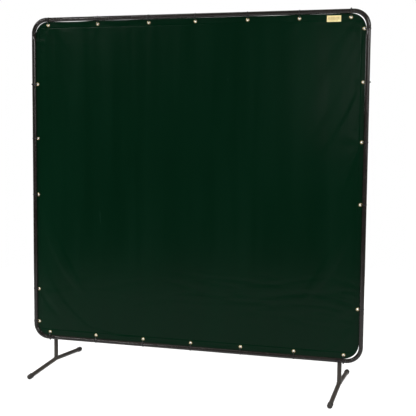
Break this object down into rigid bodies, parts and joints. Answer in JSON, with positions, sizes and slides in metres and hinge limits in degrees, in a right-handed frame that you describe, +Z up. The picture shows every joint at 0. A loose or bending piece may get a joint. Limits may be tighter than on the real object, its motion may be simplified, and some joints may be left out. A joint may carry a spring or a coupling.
{
  "type": "welding curtain screen",
  "caption": "Free-standing curtain screen: a round-tube frame with rounded corners, a dark green vinyl curtain tied in through brass eyelets, and T-shaped legs.",
  "frame": {"origin": "on the floor, midway between the two legs, below the centre of the object's box", "axes": "+X along the screen to its right, +Y from the screen's front to its back, +Z up"},
  "size_m": [1.8384, 0.6508, 1.9242],
  "materials": {
    "frame_powder_coat": "satin",
    "curtain_vinyl": "satin",
    "tie_nylon": "satin",
    "cap_plastic": "matte",
    "label_print": "satin",
    "zinc_plate": "satin",
    "bolt_black": "satin",
    "eyelet_brass": "satin"
  },
  "bodies": {
    "frame": {"corner_top_left": "frame_powder_coat", "corner_top_right": "frame_powder_coat", "corner_bottom_left": "frame_powder_coat", "corner_bottom_right": "frame_powder_coat", "rail_top": "frame_powder_coat", "rail_bottom": "frame_powder_coat", "side_tube_left": "frame_powder_coat", "side_tube_right": "frame_powder_coat", "snap_button_top_left": "zinc_plate", "snap_button_top_right": "zinc_plate", "snap_button_left_upper": "zinc_plate", "snap_button_left_lower": "zinc_plate", "snap_button_right_upper": "zinc_plate", "snap_button_right_lower": "zinc_plate", "curtain": "curtain_vinyl", "label_patch": "label_print", "tie_top_1": "tie_nylon", "tie_top_2": "tie_nylon", "tie_top_3": "tie_nylon", "tie_top_4": "tie_nylon", "tie_top_5": "tie_nylon", "tie_top_6": "tie_nylon", "tie_top_7": "tie_nylon", "tie_bottom_1": "tie_nylon", "tie_bottom_2": "tie_nylon", "tie_bottom_3": "tie_nylon", "tie_bottom_4": "tie_nylon", "tie_bottom_5": "tie_nylon", "tie_bottom_6": "tie_nylon", "tie_bottom_7": "tie_nylon", "tie_left_1": "tie_nylon", "tie_left_2": "tie_nylon", "tie_left_3": "tie_nylon", "tie_left_4": "tie_nylon", "tie_left_5": "tie_nylon", "tie_right_1": "tie_nylon", "tie_right_2": "tie_nylon", "tie_right_3": "tie_nylon", "tie_right_4": "tie_nylon", "tie_right_5": "tie_nylon", "leg_bolt_left": "bolt_black", "spacer_left": "cap_plastic", "washer_left": "zinc_plate", "leg_bolt_right": "bolt_black", "spacer_right": "cap_plastic", "washer_right": "zinc_plate"},
    "leg_left": {"leg_post_left": "frame_powder_coat", "foot_tube_left": "frame_powder_coat", "foot_cap_left_front": "cap_plastic", "foot_cap_left_back": "cap_plastic", "post_plug_left": "cap_plastic"},
    "wing_nut_left": {"wing_nut_left": "zinc_plate"},
    "leg_right": {"leg_post_right": "frame_powder_coat", "foot_tube_right": "frame_powder_coat", "foot_cap_right_front": "cap_plastic", "foot_cap_right_back": "cap_plastic", "post_plug_right": "cap_plastic"},
    "wing_nut_right": {"wing_nut_right": "zinc_plate"}
  },
  "joints": [
    {"name": "leg_left_fold", "type": "hinge", "parent": "frame", "child": "leg_left", "pos_m": [-0.7949, 0, 0.1611], "axis": [0, 1, 0], "range_deg": [-75, 90]},
    {"name": "leg_right_fold", "type": "hinge", "parent": "frame", "child": "leg_right", "pos_m": [0.7949, 0, 0.1611], "axis": [0, -1, 0], "range_deg": [-75, 90]},
    {"name": "wing_nut_left_spin", "type": "hinge", "parent": "frame", "child": "wing_nut_left", "pos_m": [-0.7949, 0.0195, 0.1611], "axis": [0, 1, 0], "continuous": true},
    {"name": "wing_nut_right_spin", "type": "hinge", "parent": "frame", "child": "wing_nut_right", "pos_m": [0.7949, 0.0195, 0.1611], "axis": [0, 1, 0], "continuous": true}
  ]
}
